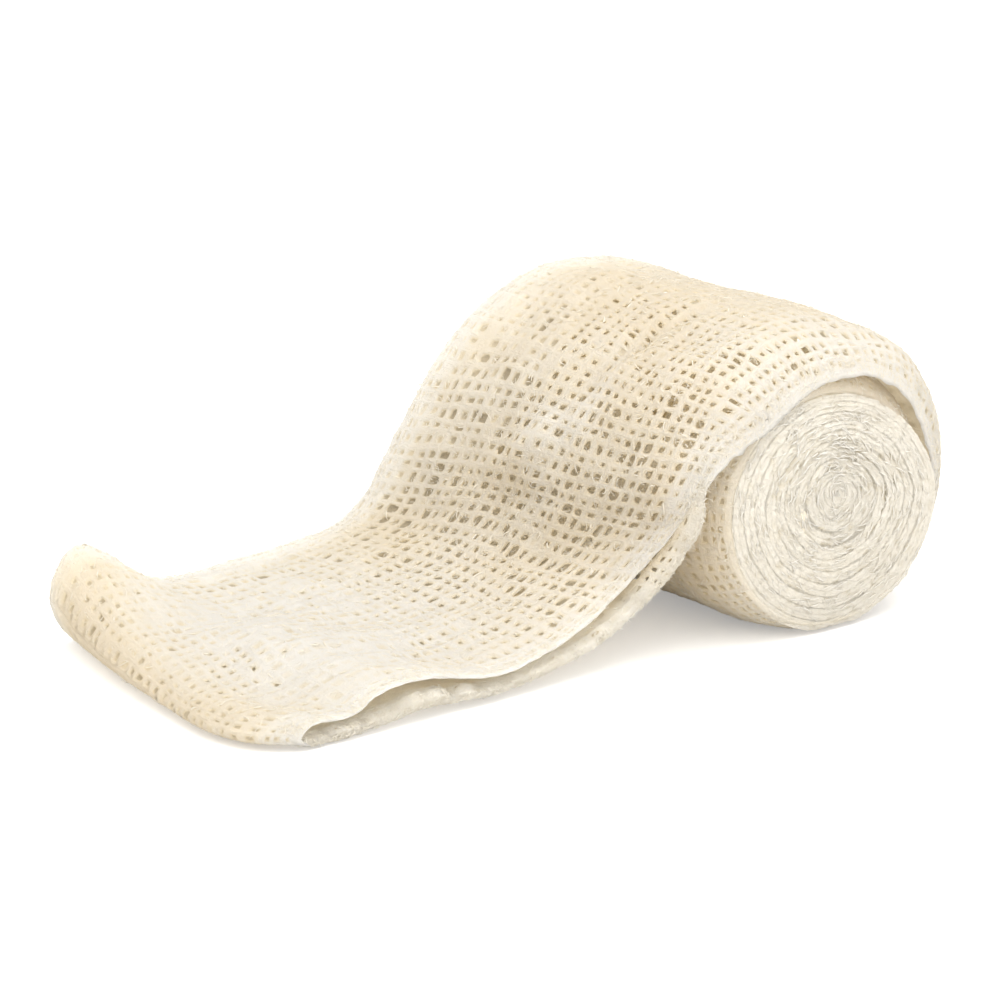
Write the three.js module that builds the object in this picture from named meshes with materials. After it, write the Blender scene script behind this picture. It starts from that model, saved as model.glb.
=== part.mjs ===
// A crepe bandage, part rolled. One strip of open-weave cotton, folded double, is wound into a roll
// that lies on its side. Its last turn is loose: it stands off the roll over the top, leaves it on the
// left, slopes down to the surface and ends in the strip's own fold, whose far corner curls up.
//
// Frame: millimetres, +Z up. The roll's axis is parallel to Y. The near end of the roll faces -Y, and
// the loose end runs towards -X. The origin is on the surface, under the middle of the roll.

import * as THREE from 'three';

// ---- driving dimensions -------------------------------------------------------------------------

const STRIP_WIDTH = 50; // the narrowest stock width of such a bandage
const ROLL_WIDE = 38; // the tight roll, along X
const ROLL_HIGH = 35.2; // the tight roll, along Z: it sags a little
const FOOT_DEPTH = 0.45; // how much of the roll's underside is pressed flat
const SHOULDER_DROP = 3; // the ends' outer turns round inwards by this much
const SHOULDER_LONG = 6; // and over this length of the roll
const CROWN = 2.2; // the middle of each end stands this far out of its rim
const PLY = 1; // thickness of one ply of the cloth
const EDGE_SHARE = 0.17; // share of the strip's width that curls in at the near end of the roll
const EDGE_TURN = 0.97; // how nearly that curl reaches a right angle at the very edge
const FOLD_REACH = 8; // how far the fold's middle lies out beyond a line between its corners
const FOLD_CORNER = 0.1; // share of the width in which the near corner of the fold is rounded off

const ROLL_STEPS = 56; // facets around the roll
const SHOULDER_STEPS = 5; // facets along each shoulder
const CROWN_STEPS = 4; // facets from the rim of an end to its middle
const STEPS_PER_ROW = 3; // facets between two rows of the tables below
const WIDTH_STEPS = 14; // facets across the strip

const HALF_WIDTH = STRIP_WIDTH / 2;
const ROLL_MIDDLE = ROLL_HIGH / 2 - FOOT_DEPTH; // height of the roll's axis over the surface

// ---- the tight roll -----------------------------------------------------------------------------

// Radius of the roll's oval at an angle about its axis, counted from +X towards +Z.
function rollRadius(angle) {
  const across = Math.cos(angle) / (ROLL_WIDE / 2);
  const up = Math.sin(angle) / (ROLL_HIGH / 2);
  return 1 / Math.hypot(across, up);
}

// Half section of one end, from its middle out to the start of its shoulder, as [share of the radius
// at the rim, drop from the roll's side, distance beyond the strip's edge].
function endProfile() {
  const rows = [];
  for (let i = 0; i < CROWN_STEPS; i += 1) {
    const share = i / CROWN_STEPS;
    rows.push({ share, drop: SHOULDER_DROP, out: CROWN * (1 - share * share) });
  }
  for (let i = 0; i <= SHOULDER_STEPS; i += 1) {
    const turn = (Math.PI / 2) * (1 - i / SHOULDER_STEPS);
    rows.push({
      share: 1,
      drop: SHOULDER_DROP * (1 - Math.cos(turn)),
      out: -SHOULDER_LONG * (1 - Math.sin(turn)),
    });
  }
  return rows;
}

// A round lathe body carries the section. Each vertex is then moved out to the oval, less the drop of
// its row, and whatever would lie below the surface is pressed flat onto it.
function rollGeometry() {
  const near = endProfile().map((row) => ({ ...row, y: -HALF_WIDTH - row.out }));
  const far = endProfile().map((row) => ({ ...row, y: HALF_WIDTH + row.out })).reverse();
  const rows = [...near, ...far];
  const profile = rows.map((row) => new THREE.Vector2(row.share, row.y));
  const geometry = new THREE.LatheGeometry(profile, ROLL_STEPS);
  const place = geometry.attributes.position;
  for (let i = 0; i < place.count; i += 1) {
    const row = rows[i % rows.length];
    const angle = Math.atan2(place.getZ(i), place.getX(i));
    const radius = (rollRadius(angle) - row.drop) * row.share;
    const height = ROLL_MIDDLE + radius * Math.sin(angle);
    place.setXYZ(i, radius * Math.cos(angle), row.y, Math.max(height, 0));
  }
  return geometry;
}

// ---- the loose end ------------------------------------------------------------------------------

// The middle of the cloth runs through these rows, from where the last turn leaves the roll at the
// right, over the top, down to the surface, round the fold and back under itself to the roll.
// near and far are the two edges of the strip; draw is how far the near edge curls in towards the
// roll's axis; curl above 0 keeps the far corner's rise to the far side; reach is the row's share of
// FOLD_REACH.

// Over the roll: angle about the roll's axis, and the height over the tight roll at each edge.
const LAST_TURN = [
  { name: 'leaves the roll', angle: -25, nearGap: 1.2, farGap: 1.2, nearY: -24.6, farY: 25, draw: 1.6 },
  { name: 'right, low', angle: -5, nearGap: 3.1, farGap: 1.5, nearY: -24.6, farY: 25, draw: 3.8 },
  { name: 'right', angle: 15, nearGap: 4.7, farGap: 2.6, nearY: -24.8, farY: 25, draw: 5.6 },
  { name: 'right, high', angle: 40, nearGap: 5.0, farGap: 3.4, nearY: -25, farY: 25, draw: 6.1 },
  { name: 'right of crest', angle: 65, nearGap: 4.3, farGap: 3.6, nearY: -25.2, farY: 25, draw: 5.5 },
  { name: 'crest', angle: 90, nearGap: 3.8, farGap: 3.5, nearY: -25.2, farY: 25, draw: 5 },
  { name: 'left of crest', angle: 112, nearGap: 3.6, farGap: 3.9, nearY: -25.2, farY: 25, draw: 4.4 },
  { name: 'left, high', angle: 135, nearGap: 3.7, farGap: 4.9, nearY: -25, farY: 25, draw: 3.1 },
];

// From the roll down the ramp and along the surface, round the fold and back under the ramp.
const LOOSE_END = [
  { name: 'off the roll', nearX: -19.5, nearZ: 28.1, farX: -22.8, farZ: 27.2, nearY: -24.8, farY: 25.6, draw: 1.5 },
  { name: 'ramp, top', nearX: -21.5, nearZ: 21.7, farX: -27.2, farZ: 20, nearY: -24.2, farY: 26.6, draw: 0.6 },
  { name: 'ramp', nearX: -23.1, nearZ: 15.9, farX: -30.4, farZ: 13.2, nearY: -22.6, farY: 28, draw: 0.2 },
  { name: 'ramp, low', nearX: -26.6, nearZ: 10.7, farX: -33.4, farZ: 8.6, nearY: -21.6, farY: 29 },
  { name: 'foot of ramp', nearX: -32.5, nearZ: 7.2, farX: -37.5, farZ: 6.6, nearY: -20.9, farY: 29.3 },
  { name: 'flat, first', nearX: -40, nearZ: 4.9, farX: -43.5, farZ: 6.2, nearY: -20.7, farY: 29.3 },
  { name: 'flat, second', nearX: -49, nearZ: 3.9, farX: -51, farZ: 5.6, nearY: -20.7, farY: 29.3 },
  { name: 'flat, third', nearX: -58, nearZ: 4.5, farX: -59, farZ: 5, nearY: -20.7, farY: 29.3, curl: 0.2 },
  { name: 'flat, last', nearX: -65, nearZ: 4.5, farX: -65.5, farZ: 5.9, nearY: -20.7, farY: 29.3, curl: 0.6, reach: 0.1 },
  { name: 'rise to curl', nearX: -71, nearZ: 3.7, farX: -71.5, farZ: 10.4, nearY: -20.7, farY: 29.3, curl: 1.2, reach: 0.5 },
  { name: 'top of fold', nearX: -74.8, nearZ: 3, farX: -75.8, farZ: 12, nearY: -20.6, farY: 29.3, curl: 1.6, reach: 0.9 },
  { name: 'tip of fold', nearX: -76.7, nearZ: 1.7, farX: -79.4, farZ: 7, nearY: -20.5, farY: 29.2, curl: 1.6, reach: 1 },
  { name: 'under fold', nearX: -74.8, nearZ: 0.5, farX: -77, farZ: 1.4, nearY: -20.5, farY: 29.1, curl: 1.6, reach: 0.9 },
  { name: 'floor, last', nearX: -68, nearZ: 0.5, farX: -68, farZ: 0.5, nearY: -20.5, farY: 29.1, reach: 0.1 },
  { name: 'floor, third', nearX: -58, nearZ: 0.5, farX: -58, farZ: 0.5, nearY: -20.5, farY: 29.1 },
  { name: 'floor, second', nearX: -48, nearZ: 0.7, farX: -49, farZ: 0.7, nearY: -20.5, farY: 29.1 },
  { name: 'floor, first', nearX: -39.5, nearZ: 2.1, farX: -42, farZ: 1.5, nearY: -20.6, farY: 29 },
  { name: 'rise, low', nearX: -32, nearZ: 4.4, farX: -35.5, farZ: 3.2, nearY: -21, farY: 28.8 },
  { name: 'rise', nearX: -26.4, nearZ: 7.8, farX: -30.9, farZ: 6.2, nearY: -21.6, farY: 28.2 },
  { name: 'rise, high', nearX: -23, nearZ: 12.4, farX: -27.8, farZ: 11.4, nearY: -22.6, farY: 27.2 },
  { name: 'tuck, low', nearX: -20.7, nearZ: 18, farX: -24.8, farZ: 17.8, nearY: -24, farY: 26, draw: 0.5 },
  { name: 'tuck', nearX: -19.8, nearZ: 22.6, farX: -21.6, farZ: 23.6, nearY: -24.4, farY: 25.2, draw: 1 },
];

// The lower ply ends between the last turn and the roll.
const TUCKED_END = [
  { name: 'tucked end', angle: 142, nearGap: 1.5, farGap: 1.3, nearY: -24.6, farY: 25, draw: 1.8 },
];

function aboutRoll({ angle, nearGap, farGap, ...rest }) {
  const turn = THREE.MathUtils.degToRad(angle);
  const near = rollRadius(turn) + nearGap;
  const far = rollRadius(turn) + farGap;
  return {
    ...rest,
    nearX: near * Math.cos(turn),
    nearZ: ROLL_MIDDLE + near * Math.sin(turn),
    farX: far * Math.cos(turn),
    farZ: ROLL_MIDDLE + far * Math.sin(turn),
  };
}

const ROWS = [...LAST_TURN.map(aboutRoll), ...LOOSE_END, ...TUCKED_END.map(aboutRoll)];

const nearEdge = new THREE.CatmullRomCurve3(
  ROWS.map((row) => new THREE.Vector3(row.nearX, row.nearY, row.nearZ)),
);
const farEdge = new THREE.CatmullRomCurve3(
  ROWS.map((row) => new THREE.Vector3(row.farX, row.farY, row.farZ)),
);

// draw, curl and reach change evenly from row to row.
function rowValue(key, along) {
  const at = Math.min(along * (ROWS.length - 1), ROWS.length - 1.000001);
  const row = Math.floor(at);
  return THREE.MathUtils.lerp(ROWS[row][key] ?? 0, ROWS[row + 1][key] ?? 0, at - row);
}

// A point of the middle of the cloth: along the strip and across it from near to far, both 0 to 1.
function clothPoint(along, across) {
  const near = nearEdge.getPoint(along);
  const far = farEdge.getPoint(along);
  const point = near.clone().lerp(far, across);
  point.z = near.z + (far.z - near.z) * across ** (1 + rowValue('curl', along));
  const bow = (1 - across) ** 0.8 * (1 - Math.exp(-across / FOLD_CORNER));
  point.x -= FOLD_REACH * bow * rowValue('reach', along);
  const turn = EDGE_TURN * Math.max(1 - across / EDGE_SHARE, 0);
  const most = 1 - Math.sqrt(1 - EDGE_TURN ** 2);
  const drop = (rowValue('draw', along) * (1 - Math.sqrt(1 - turn ** 2))) / most;
  const out = Math.hypot(point.x, point.z - ROLL_MIDDLE);
  point.x -= (drop * point.x) / out;
  point.z -= (drop * (point.z - ROLL_MIDDLE)) / out;
  return point;
}

// The cloth's upward side on the roll, from two short steps on the surface.
function clothNormal(along, across) {
  const step = 1e-3;
  const a = Math.min(Math.max(along, step), 1 - step);
  const b = Math.min(Math.max(across, step), 1 - step);
  const run = clothPoint(a + step, b).sub(clothPoint(a - step, b));
  const cross = clothPoint(a, b + step).sub(clothPoint(a, b - step));
  return run.cross(cross).normalize();
}

// More facets lie near the near edge, where the cloth curls in.
function widthStation(i) {
  const even = i / WIDTH_STEPS;
  return even ** 1.4;
}

// A closed shell: the cloth's two sides, and the rim that joins them.
function looseEndGeometry() {
  const alongSteps = (ROWS.length - 1) * STEPS_PER_ROW;
  const rowLength = WIDTH_STEPS + 1;
  const sideLength = (alongSteps + 1) * rowLength;
  const places = [];
  for (const side of [1, -1]) {
    for (let i = 0; i <= alongSteps; i += 1) {
      for (let j = 0; j <= WIDTH_STEPS; j += 1) {
        const along = i / alongSteps;
        const across = widthStation(j);
        const normal = clothNormal(along, across);
        const point = clothPoint(along, across).addScaledVector(normal, (side * PLY) / 2);
        places.push(point.x, point.y, Math.max(point.z, 0));
      }
    }
  }
  const faces = [];
  const quad = (a, b, c, d) => faces.push(a, b, c, a, c, d);
  const outer = (i, j) => i * rowLength + j;
  const inner = (i, j) => sideLength + i * rowLength + j;
  for (let i = 0; i < alongSteps; i += 1) {
    for (let j = 0; j < WIDTH_STEPS; j += 1) {
      quad(outer(i, j), outer(i + 1, j), outer(i + 1, j + 1), outer(i, j + 1));
      quad(inner(i, j), inner(i, j + 1), inner(i + 1, j + 1), inner(i + 1, j));
    }
    quad(outer(i, 0), inner(i, 0), inner(i + 1, 0), outer(i + 1, 0));
    quad(outer(i + 1, WIDTH_STEPS), inner(i + 1, WIDTH_STEPS), inner(i, WIDTH_STEPS), outer(i, WIDTH_STEPS));
  }
  for (let j = 0; j < WIDTH_STEPS; j += 1) {
    quad(outer(0, j + 1), inner(0, j + 1), inner(0, j), outer(0, j));
    quad(outer(alongSteps, j), inner(alongSteps, j), inner(alongSteps, j + 1), outer(alongSteps, j + 1));
  }
  const geometry = new THREE.BufferGeometry();
  geometry.setAttribute('position', new THREE.Float32BufferAttribute(places, 3));
  geometry.setIndex(faces);
  geometry.computeVertexNormals();
  return geometry;
}

// ---- the bandage --------------------------------------------------------------------------------

const cotton = new THREE.MeshStandardMaterial({ color: 0xefe6cf, roughness: 0.95, metalness: 0 });
const cottonEnds = new THREE.MeshStandardMaterial({ color: 0xebe5d6, roughness: 0.95, metalness: 0 });

function piece(name, geometry, material) {
  const mesh = new THREE.Mesh(geometry, material);
  mesh.name = name;
  return mesh;
}

const bandage = new THREE.Group();
bandage.add(piece('wound_roll', rollGeometry(), cottonEnds));
bandage.add(piece('loose_end', looseEndGeometry(), cotton));

export default bandage;
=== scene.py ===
"""Crepe bandage, part rolled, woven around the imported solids.

One strip of open cotton, folded double, is wound into a roll that lies on its side. Its outer part is
woven here in full: the tight turn round the roll, the last turn that stands off it, and the loose end
with its fold. Inside them a body stands for the wound turns, and their selvedges show at both ends.
Sizes are in millimetres until a mesh is made.
"""

import math

import bpy
import numpy as np
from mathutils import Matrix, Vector


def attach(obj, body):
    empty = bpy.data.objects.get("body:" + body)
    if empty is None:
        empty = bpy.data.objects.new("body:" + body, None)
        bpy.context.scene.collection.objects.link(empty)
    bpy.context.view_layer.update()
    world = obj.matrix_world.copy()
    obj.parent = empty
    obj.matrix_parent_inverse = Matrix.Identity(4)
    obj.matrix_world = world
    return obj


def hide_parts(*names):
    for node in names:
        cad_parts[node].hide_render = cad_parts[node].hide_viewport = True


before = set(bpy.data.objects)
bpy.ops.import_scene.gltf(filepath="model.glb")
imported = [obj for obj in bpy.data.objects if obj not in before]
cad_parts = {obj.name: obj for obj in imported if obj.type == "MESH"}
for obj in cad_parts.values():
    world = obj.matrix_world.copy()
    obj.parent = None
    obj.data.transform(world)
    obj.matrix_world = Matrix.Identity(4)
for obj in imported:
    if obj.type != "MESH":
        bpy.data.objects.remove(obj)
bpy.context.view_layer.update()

MM = 0.001

# ---- sizes --------------------------------------------------------------------------------------

STRIP_WIDTH = 50.0
ROLL_WIDE = 38.0
ROLL_HIGH = 35.2
FOOT_DEPTH = 0.45  # how much of the roll's underside is pressed flat
ROLL_MIDDLE = ROLL_HIGH / 2 - FOOT_DEPTH  # height of the roll's axis
EDGE_SHARE = 0.17  # share of the width that curls in at a selvedge
EDGE_TURN = 0.97  # how nearly that curl reaches a right angle
FOLD_REACH = 8.0  # how far the fold's middle lies out beyond its corners
FOLD_CORNER = 0.1  # share of the width in which the fold's near corner is rounded
SHOULDER = 3.2  # how far the selvedges of the tight turns curl in
SHOULDER_LONG = 7.5  # how far in along the roll this curl reaches
CROWN = 2.2  # how far the middle of each end stands out of its rim

WEFT_PITCH = 1.72  # crosswise yarns, along the strip
NET_THICK = 0.24  # half the cloth's thickness on a yarn
KNOT_RISE = 1.16  # how much thicker the cloth is where two yarns cross
EDGE_THICK = 0.72  # how much thinner it is at its edges
HOLE_SHARE = 0.47  # a hole's width where the weave is most open, as a share of a cell
CLOSED_BELOW = 0.42  # cells whose hole would be smaller than this share of the largest are closed
FLOOR_GAP = 0.012  # least height of the weave over the surface
SELVEDGE = (0.3, 1.0, 1.9)  # close-set yarns, in from each edge
OPEN_FROM = 3.1  # where the open weave begins, in from each edge
OPEN_YARNS = 25
TURNS = 10.6  # doubled turns whose selvedges show inside the shoulder


def unit(vectors):
    return vectors / np.maximum(np.linalg.norm(vectors, axis=-1, keepdims=True), 1e-9)


# ---- the strip ----------------------------------------------------------------------------------

TIGHT_ANGLES = range(-385, -44, 20)

# Over the roll: angle about its axis, height over the tight roll at each edge, places of both
# edges along the roll, and how far each of them curls in.
LAST_TURN = [
    # angle, near gap, far gap, near y, far y, draw, far draw
    (-25, 1.2, 1.2, -25.5, 25, 1.9, 2.0),
    (-5, 3.4, 1.5, -25.1, 25, 4.0, 1.2),
    (15, 5.3, 2.3, -24.8, 25, 6.6, 0.5),
    (40, 5.4, 2.7, -25, 25, 6.4, 0),
    (65, 4.4, 2.9, -25.2, 25, 5.4, 0),
    (90, 3.7, 3.2, -25.3, 25, 5.5, 0),
    (112, 3.6, 3.9, -25.3, 25, 6.4, 0),
    (135, 3.7, 4.9, -25.3, 25, 6.8, 0),
]

# From the roll down to the surface, round the fold and back under itself to the roll: places of
# both edges, how far the near edge curls in, how late across the width the cloth rises to its far
# edge, and the share of FOLD_REACH by which its middle lies farther out.
LOOSE_END = [
    # near x, near z, far x, far z, near y, far y, draw, curl, reach
    (-19.5, 28.1, -22.8, 27.2, -25.2, 25.6, 4.6, 0, 0),  # off the roll
    (-21.5, 21.7, -27.2, 20, -24.5, 26.6, 1.6, 0, 0),  # ramp, top
    (-23.1, 15.9, -30.4, 13.2, -21.8, 28, 0.2, 0, 0),  # ramp
    (-26.6, 10.7, -33.4, 8.6, -19.6, 29, 0, 0, 0),  # ramp, low
    (-32.5, 7.2, -37.5, 6.6, -19.9, 29.3, 0, 0, 0),  # foot of ramp
    (-40, 4.9, -43.5, 6.2, -20.7, 29.3, 0, 0, 0),  # flat, first
    (-49, 3.5, -51, 5.6, -20.9, 29.3, 0, 0, 0),
    (-58, 5.2, -59, 5, -20.7, 29.3, 0, 0.2, 0),
    (-64.4, 5.3, -65.5, 5.9, -20.7, 29.3, 0, 0.6, 0.1),  # flat, last
    (-69.5, 3.0, -71.5, 10.4, -20.7, 29.3, 0, 1.2, 0.5),  # rise to curl
    (-74.8, 3, -75.8, 12, -20.6, 29.3, 0, 1.6, 0.9),  # top of fold
    (-76.7, 1.7, -79.4, 7, -20.5, 29.2, 0, 1.6, 1),  # tip of fold
    (-74.8, 0.5, -77, 1.4, -20.5, 29.1, 0, 1.6, 0.9),  # under fold
    (-68, 0.5, -68, 0.5, -20.5, 29.1, 0, 0, 0.1),  # floor, last
    (-58, 1.4, -58, 0.5, -20.5, 29.1, 0, 0, 0),
    (-48, 1.0, -49, 0.7, -20.6, 29.1, 0, 0, 0),
    (-39.5, 2.1, -42, 1.5, -20.6, 29, 0, 0, 0),  # floor, first
    (-32, 4.4, -35.5, 3.2, -21, 28.8, 0, 0, 0),  # rise, low
    (-26.4, 7.8, -30.9, 6.2, -21.6, 28.2, 0, 0, 0),  # rise
    (-23, 12.4, -27.8, 11.4, -23.6, 27.2, 0, 0, 0),  # rise, high
    (-20.7, 18, -24.8, 17.8, -25.6, 26, 0, 0, 0),  # tuck, low
    (-19.8, 22.6, -21.6, 23.6, -25.0, 25.2, 0.6, 0, 0),  # tuck
]
TUCKED_END = (142, 1.5, 1.3, -23, 25, 1.8, 0)

OFF_TIGHT = len(TIGHT_ANGLES)  # the row where the last turn leaves the tight one
OFF_ROLL = OFF_TIGHT + len(LAST_TURN)
FOLD_TIP = OFF_ROLL + 11


def roll_radius(angle):
    """The tight roll's outline, an oval."""
    return 1 / np.hypot(np.cos(angle) / (ROLL_WIDE / 2), np.sin(angle) / (ROLL_HIGH / 2))


def tight_row(angle):
    """The tight turn lies in the roll's own outline and eases out to the last turn."""
    ease = min(max((angle + 85) / 60, 0), 1)
    gap = -0.5 + 1.7 * ease * ease * (3 - 2 * ease)
    fuller = min(max((angle + 160) / 70, 0), 1)  # towards the right, where the end stands fuller
    draw = SHOULDER + (1.2 - SHOULDER) * fuller
    return (angle, gap, gap, -24.7 - 1.0 * fuller, 25, draw, SHOULDER)


def about_roll(row):
    angle, near_gap, far_gap, near_y, far_y, draw, far_draw = row
    turn = math.radians(angle)
    near, far = roll_radius(turn) + near_gap, roll_radius(turn) + far_gap
    return [
        near * math.cos(turn), near_y, ROLL_MIDDLE + near * math.sin(turn),
        far * math.cos(turn), far_y, ROLL_MIDDLE + far * math.sin(turn),
        draw, far_draw, 0, 0,
    ]


def off_roll(row):
    near_x, near_z, far_x, far_z, near_y, far_y, draw, curl, reach = row
    return [near_x, near_y, near_z, far_x, far_y, far_z, draw, 0, curl, reach]


ROWS = np.array(
    [about_roll(tight_row(angle)) for angle in TIGHT_ANGLES]
    + [about_roll(row) for row in LAST_TURN]
    + [off_roll(row) for row in LOOSE_END]
    + [about_roll(TUCKED_END)],
    float,
)
LAST_ROW = len(ROWS) - 1


def through(points, at):
    """A smooth curve through points, read at row numbers with fractions."""
    ends = np.vstack([2 * points[0] - points[1], points, 2 * points[-1] - points[-2]])
    row = np.clip(np.floor(at).astype(int), 0, len(points) - 2)
    part = (at - row)[..., None]
    a, b, c, d = (ends[row + k] for k in range(4))
    ab, bc, cd = (
        np.maximum(np.sqrt(np.linalg.norm(q - p, axis=-1, keepdims=True)), 1e-4)
        for p, q in ((a, b), (b, c), (c, d))
    )
    leave = ((b - a) / ab - (c - a) / (ab + bc) + (c - b) / bc) * bc
    arrive = ((c - b) / bc - (d - b) / (bc + cd) + (d - c) / cd) * bc
    return (
        b + leave * part
        + (3 * (c - b) - 2 * leave - arrive) * part**2
        + (2 * (b - c) + leave + arrive) * part**3
    )


def row_values(column, at):
    """One of the rows' columns, read at row numbers with fractions."""
    return np.interp(at, np.arange(len(ROWS)), ROWS[:, column])


def curl_in(amount, share):
    """How far a selvedge is drawn in at a share of EDGE_SHARE from the edge, 0 at the edge."""
    turn = np.clip(EDGE_TURN * (1 - share / EDGE_SHARE), 0, 0.995)
    return amount * (1 - np.sqrt(1 - turn**2)) / (1 - math.sqrt(1 - EDGE_TURN**2))


def cloth_at(row, across):
    """Points of the middle of the cloth: row number and share of the width from the near edge."""
    row, across = np.broadcast_arrays(np.asarray(row, float), np.asarray(across, float))
    near, far = through(ROWS[:, 0:3], row), through(ROWS[:, 3:6], row)
    place = near + (far - near) * across[..., None]
    inside = np.clip(across, 0, 1)
    rise = inside ** (1 + row_values(8, row)) + across - inside  # straight on past the edges
    place[..., 2] = near[..., 2] + (far[..., 2] - near[..., 2]) * rise
    bow = (1 - inside) ** 0.8 * (1 - np.exp(-inside / FOLD_CORNER))
    place[..., 0] -= FOLD_REACH * bow * row_values(9, row)
    drop = curl_in(row_values(6, row), across) + curl_in(row_values(7, row), 1 - across)
    out = np.hypot(place[..., 0], place[..., 2] - ROLL_MIDDLE)
    place[..., 0] -= drop * place[..., 0] / out
    place[..., 2] -= drop * (place[..., 2] - ROLL_MIDDLE) / out
    place[..., 2] = np.maximum(place[..., 2], 0.5)
    return place


# Length along the strip, from the start of the tight turn.
FINE_ROWS = np.linspace(0, LAST_ROW, 8001)
FINE_PLACES = cloth_at(FINE_ROWS, 0.5)
FINE_LENGTH = np.concatenate(
    [[0], np.cumsum(np.linalg.norm(np.diff(FINE_PLACES, axis=0), axis=1))]
)
STRIP_LENGTH = FINE_LENGTH[-1]


def length_at(row):
    return float(np.interp(row, FINE_ROWS, FINE_LENGTH))


def row_at(length):
    return np.interp(length, FINE_LENGTH, FINE_ROWS)


# ---- creases, ripples and unevenness ------------------------------------------------------------

# Soft troughs and ridges in the cloth: row number and share of the width at each end, half width
# in millimetres and height, below 0 for a trough.
CREASES = [
    # row, across, row, across, half width, height
    (OFF_TIGHT + 4.6, 0.36, OFF_ROLL + 0.4, 0.50, 1.6, -1.0),
    (OFF_ROLL + 0.3, 0.50, OFF_ROLL + 1.2, 0.60, 1.6, 0.9),
    (OFF_ROLL + 1.5, 0.50, OFF_ROLL + 2.2, 0.62, 3.0, -0.9),
    (OFF_ROLL + 1.0, 0.10, OFF_ROLL + 3.4, 0.34, 4.5, -1.2),
    (OFF_ROLL + 4.6, 0.30, OFF_ROLL + 9.5, 0.36, 3.2, 0.45),
    (OFF_ROLL + 4.0, 0.62, OFF_ROLL + 9.0, 0.66, 3.0, -0.35),
    (OFF_TIGHT + 4.0, 0.80, OFF_ROLL - 0.5, 0.72, 2.5, 0.5),
]


def waves(seed, count, longest, shortest):
    """Directions, lengths and phases of soft random waves over the strip."""
    rng = np.random.default_rng(seed)
    length = np.exp(rng.uniform(math.log(shortest), math.log(longest), count))
    angle = rng.uniform(0, math.pi, count)
    return np.stack(
        [
            2 * math.pi * np.cos(angle) / length,
            2 * math.pi * np.sin(angle) / length,
            rng.uniform(0, 2 * math.pi, count),
        ]
    )


def wavy(field, length, width):
    """The sum of the waves at places on the strip, mostly between -1 and 1."""
    kx, ky, phase = field
    turn = kx * length[..., None] + ky * width[..., None] + phase
    return np.sin(turn).sum(-1) / math.sqrt(len(phase) / 2) / 1.6


RUMPLE = waves(3, 14, 34, 13)
CRINKLE = waves(5, 24, 9, 4)
SHIFT_ALONG = waves(7, 10, 80, 30)
SHIFT_ACROSS = waves(9, 10, 60, 18)
THINNING = waves(11, 18, 20, 6)
LUMPS = waves(13, 14, 11, 3)
KNOTS = waves(17, 18, 2.6, 1.3)
STREAKS = waves(19, 16, 5, 1.6)
WOOL = waves(23, 30, 2.6, 1.0)


# How far the lower ply's near edge rolls up towards the upper one, and out past it, by row.
ROLL_ROWS = [37.4, 38.2, 39, 40, 41, 42, 43, 44, 45, 46.4, 47.4]
ROLL_HEIGHTS = [0, 0.9, 1.5, 1.9, 1.0, 1.2, 1.2, 1.0, 0.6, 0.3, 0]
ROLL_REACHES = [0, 1.3, 2.3, 2.7, 2.1, 1.9, 1.8, 1.6, 1.4, 1.2, 0]
# Its section: place in from the edge, rise as a share of the height, shift outward of the reach.
ROLL_IN = [-0.2, 0, 0.3, 1.0, 1.9, 3.1, 5.0, 8.0]
ROLL_RISE = [0, 0.02, 0.26, 0.68, 1.0, 0.7, 0.5, 0]
ROLL_OUT = [-0.30, -0.20, 0.22, 0.55, 0.45, 0.26, 0, 0]


def rolled_edge(amounts, length, across):
    """How far the lower ply's near edge is rolled here, with its lumps."""
    lumps = 0.34 * wavy(LUMPS, length, 0.3 * across)
    knots = 0.09 * wavy(KNOTS, length, across * STRIP_WIDTH)
    return np.interp(row_at(length), ROLL_ROWS, amounts) * (1 + lumps + knots)


def relief(length, across):
    """Height of the cloth's creases and ripples over its main form."""
    width = across * STRIP_WIDTH
    row = row_at(length)
    loose = np.clip((row - OFF_TIGHT - 0.5) / 2, 0, 1) * np.clip((FOLD_TIP + 0.5 - row) / 1.5, 0, 1)
    calm = 0.22 + 0.78 * loose
    edge = np.clip(np.minimum(across, 1 - across) / 0.06, 0.35, 1)
    height = (0.34 * wavy(RUMPLE, length, width) + 0.12 * wavy(CRINKLE, length, width)) * calm * edge
    flat = np.clip(row - 30.5, 0, 1) * np.clip(35.5 - row, 0, 1)
    height = height + 0.10 * flat * wavy(STREAKS, 0.12 * length, width)
    height = height - rolled_edge(ROLL_HEIGHTS, length, across) * np.interp(width, ROLL_IN, ROLL_RISE)
    for row_a, across_a, row_b, across_b, half, rise in CREASES:
        start = np.array([length_at(row_a), across_a * STRIP_WIDTH])
        way = np.array([length_at(row_b), across_b * STRIP_WIDTH]) - start
        dx, dy = length - start[0], width - start[1]
        share = np.clip((dx * way[0] + dy * way[1]) / (way @ way), 0, 1)
        off = np.hypot(dx - share * way[0], dy - share * way[1])
        taper = np.sin(np.pi * np.clip(share, 0.02, 0.98)) ** 0.5
        height = height + rise * taper * np.exp(-((off / half) ** 2))
    return height


def rippled(length, across):
    """Places on the cloth with its creases, ripples and rolled edge."""
    step_along, step_across = 0.4, 0.01
    row = row_at(length)
    run = cloth_at(row_at(length + step_along), across) - cloth_at(row_at(length - step_along), across)
    cross = cloth_at(row, across + step_across) - cloth_at(row, across - step_across)
    place = cloth_at(row, across) + unit(np.cross(cross, run)) * relief(length, across)[..., None]
    out = rolled_edge(ROLL_REACHES, length, across)
    place[..., 1] -= out * np.interp(across * STRIP_WIDTH, ROLL_IN, ROLL_OUT)
    return place


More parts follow.
